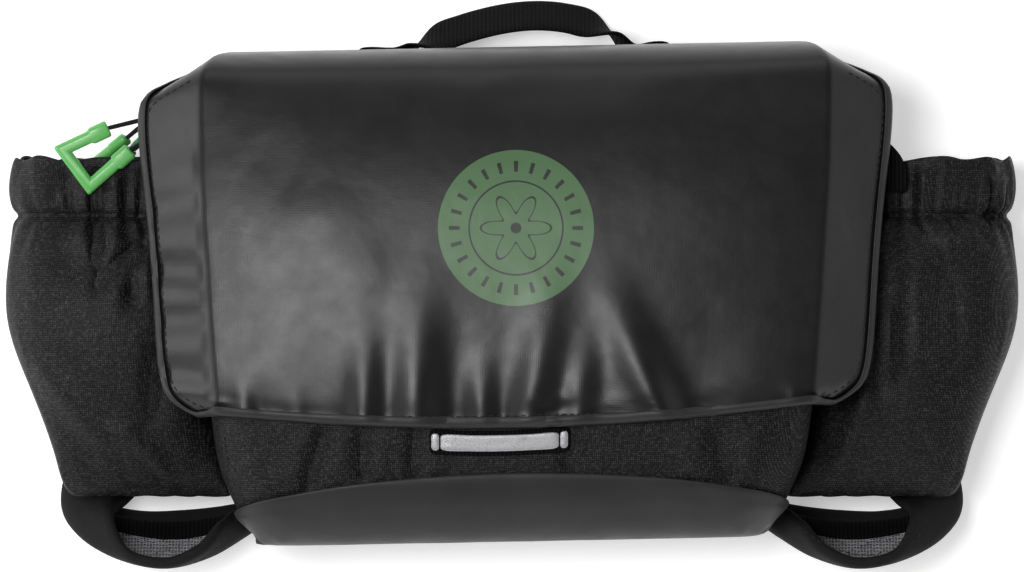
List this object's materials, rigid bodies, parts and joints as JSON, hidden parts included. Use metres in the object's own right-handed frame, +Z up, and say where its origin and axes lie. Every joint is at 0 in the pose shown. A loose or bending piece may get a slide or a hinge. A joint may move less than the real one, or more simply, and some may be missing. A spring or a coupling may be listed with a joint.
{
  "type": "bum bag",
  "caption": "Waist pack with a wide coated flap over a hollow compartment, open bottle pockets at its sides, carry handle, light loop, zip pulls and padded hip wings on a belt.",
  "frame": {"origin": "middle of the bounding box in X and Y, on the floor that the back panel lies on", "axes": "+X across the bag to the right as seen from above, +Y towards the bag's top and handle, +Z up from the floor, out of the bag's front"},
  "size_m": [0.417, 0.2344, 0.1007],
  "materials": {
    "coated_cloth": "satin coated cloth",
    "ripstop": "ripstop with a fine grid",
    "back_mesh": "padded air mesh",
    "wing_cloth": "padded woven cloth",
    "binding_tape": "woven tape",
    "webbing": "ribbed webbing",
    "liner_mesh": "open light grey mesh",
    "green_plastic": "moulded, satin",
    "green_cord": "braided cord",
    "reflective": "reflective film on tape",
    "black_plastic": "moulded, fine texture"
  },
  "bodies": {
    "root": {"body_shell": "ripstop", "back_panel": "back_mesh", "base_panel": "coated_cloth", "flap": "coated_cloth", "flap_binding": "binding_tape", "handle": "webbing", "light_loop": "webbing", "reflective_stripe": "reflective", "stripe_end_left": "reflective", "stripe_end_right": "reflective", "zip_slider_a": "black_plastic", "zip_pull_a": "green_plastic", "zip_cord_a": "green_cord", "zip_slider_b": "black_plastic", "zip_pull_b": "green_plastic", "zip_cord_b": "green_cord", "cord_sleeve": "green_cord", "pocket_left": "ripstop", "wing_left": "wing_cloth", "wing_liner_left": "liner_mesh", "wing_strap_left": "webbing", "belt_strap_left": "webbing", "pocket_right": "ripstop", "wing_right": "wing_cloth", "wing_liner_right": "liner_mesh", "wing_strap_right": "webbing", "belt_strap_right": "webbing", "buckle": "black_plastic", "pocket_tab": "webbing"}
  },
  "joints": []
}
